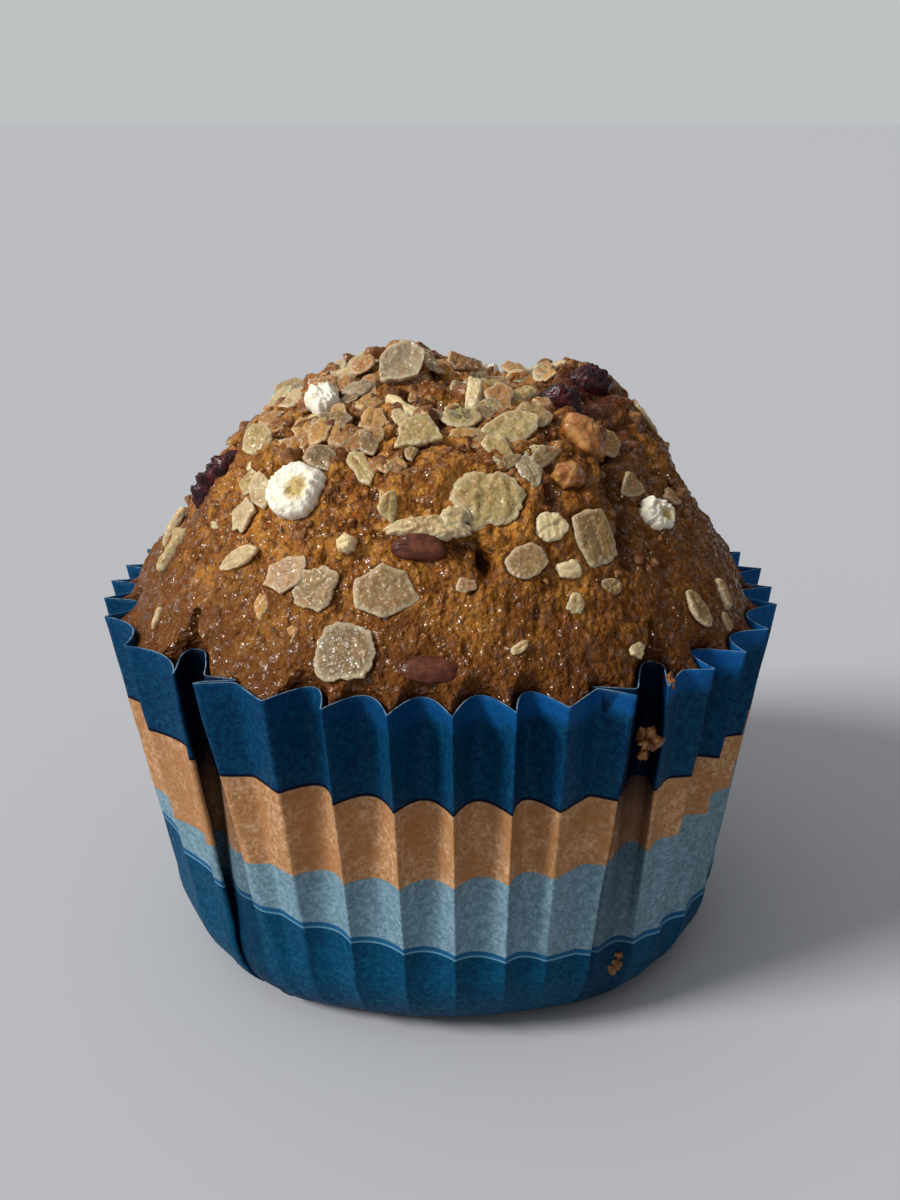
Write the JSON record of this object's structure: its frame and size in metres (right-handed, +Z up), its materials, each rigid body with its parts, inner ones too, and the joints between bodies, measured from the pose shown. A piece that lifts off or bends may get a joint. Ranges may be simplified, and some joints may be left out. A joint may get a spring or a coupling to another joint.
{
  "type": "muffin",
  "caption": "Domed muffin scattered with oat flakes, puffed grain, nuts and dried berries, in a pleated paper baking case with blue and brown bands.",
  "frame": {"origin": "middle of the paper case's flat underside, where it rests", "axes": "+Z up out of the case through the dome, -Y towards the viewer of the picture, +X to their right"},
  "size_m": [0.0759, 0.076, 0.0682],
  "materials": {
    "paper": "printed greaseproof paper",
    "crust": "baked crumb, satin where moist",
    "oat_flake": "toasted flake, matt",
    "puffed_grain": "airy and matt",
    "candied_nut": "sugared, glossy",
    "almond_slice": "satin skin",
    "dried_fruit": "wrinkled, glossy"
  },
  "bodies": {
    "root": {"paper_case": "paper", "muffin_body": "crust", "flake_crown": "oat_flake", "puff_small": "puffed_grain", "puff_large": "puffed_grain", "flake_chip_upper": "oat_flake", "flake_chip_lower": "oat_flake", "flake_long": "oat_flake", "flake_bone": "oat_flake", "flake_corner": "oat_flake", "flake_golden": "oat_flake", "sliver_crown": "oat_flake", "flake_cream": "oat_flake", "sliver_cream": "oat_flake", "berry_left": "dried_fruit", "sliver_left_high": "oat_flake", "sliver_left_low": "oat_flake", "flake_pale": "oat_flake", "flake_ragged": "oat_flake", "flake_front": "oat_flake", "flake_round": "oat_flake", "almond_skin": "almond_slice", "almond_low": "almond_slice", "flake_ledge": "oat_flake", "stick": "oat_flake", "sliver_right": "oat_flake", "flake_upper": "oat_flake", "nut_caramel": "candied_nut", "flake_yellow": "oat_flake", "flake_smoky": "oat_flake", "nut_glossy": "candied_nut", "flake_bright": "oat_flake", "flake_leaning": "oat_flake", "flake_amber": "oat_flake", "puff_right": "puffed_grain", "flake_edge": "oat_flake", "flake_low": "oat_flake", "sliver_low": "oat_flake", "berry_crest": "dried_fruit", "berry_hollow": "dried_fruit", "flake_back_left": "oat_flake", "flake_back_high": "oat_flake", "puff_back": "puffed_grain", "flake_back_right": "oat_flake", "flake_back_low": "oat_flake", "sliver_back": "oat_flake", "berry_back": "dried_fruit", "nut_back": "candied_nut"}
  },
  "joints": []
}
